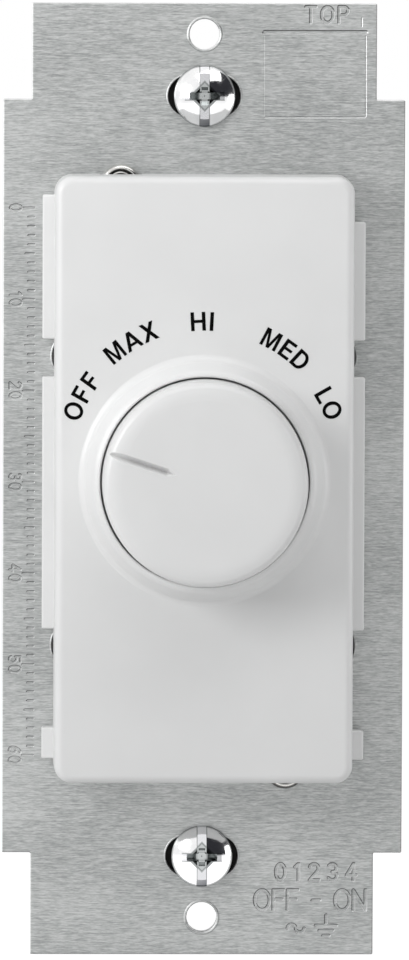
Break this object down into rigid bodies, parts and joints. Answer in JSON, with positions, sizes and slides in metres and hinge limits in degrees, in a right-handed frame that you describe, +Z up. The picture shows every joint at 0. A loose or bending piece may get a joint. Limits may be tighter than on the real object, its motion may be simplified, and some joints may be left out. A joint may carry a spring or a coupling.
{
  "type": "fan speed control switch",
  "caption": "Rotary fan speed control for a wall box: aluminium strap, white moulded cover with a raised collar, round knob with pointer line, deep box behind.",
  "frame": {"origin": "midway between the two box screws, in the plane where the back of their retainers meets the ears of the wall box", "axes": "+Z up along the strap, +X to the right seen from the front, +Y from the front into the wall box"},
  "size_m": [0.044, 0.0498, 0.1043],
  "materials": {
    "strap_aluminium": "brushed along its width, satin",
    "screw_zinc": "bright zinc plate",
    "black_fibre": "matt black",
    "eyelet_nickel": "bright nickel plate",
    "cover_white": "smooth moulded, soft gloss",
    "knob_white": "smooth moulded, soft gloss",
    "spring_steel": "bright spring steel",
    "shaft_brass": "turned",
    "bushing_brass": "turned and plated",
    "plated_steel": "zinc plated",
    "fibre_sheet": "smooth pressed fibre",
    "switch_case": "brown thermoset",
    "rotor_plastic": "natural moulded",
    "contact_bronze": "stamped",
    "board": "bare laminate",
    "capacitor_case": "smooth moulded",
    "resistor_coat": "lacquered",
    "housing_black": "fine matt moulded",
    "bushing_black": "smooth moulded"
  },
  "bodies": {
    "device": {"strap": "strap_aluminium", "box_screws": "screw_zinc", "screw_retainers": "black_fibre", "strap_eyelets": "eyelet_nickel", "cover": "cover_white", "detent_spring": "spring_steel", "bushing": "bushing_brass", "lock_washer": "plated_steel", "bushing_nut": "plated_steel", "board_screws": "plated_steel", "switch_rivets": "plated_steel", "insulating_sheet": "fibre_sheet", "switch_front": "switch_case", "switch_back": "switch_case", "fixed_contacts": "contact_bronze", "common_contact": "contact_bronze", "circuit_board": "board", "capacitor_large": "capacitor_case", "capacitor_small": "capacitor_case", "bleed_resistors": "resistor_coat", "housing": "housing_black", "lead_bushings": "bushing_black"},
    "knob_and_rotor": {"knob": "knob_white", "knob_clip": "spring_steel", "shaft": "shaft_brass", "shaft_ring": "spring_steel", "rotor": "rotor_plastic", "wiper": "contact_bronze"}
  },
  "joints": [
    {"name": "knob_turn", "type": "hinge", "parent": "device", "child": "knob_and_rotor", "pos_m": [0, 0, 0], "axis": [0, 1, 0], "range_deg": [0, 135], "deforming": ["detent_spring"]}
  ]
}
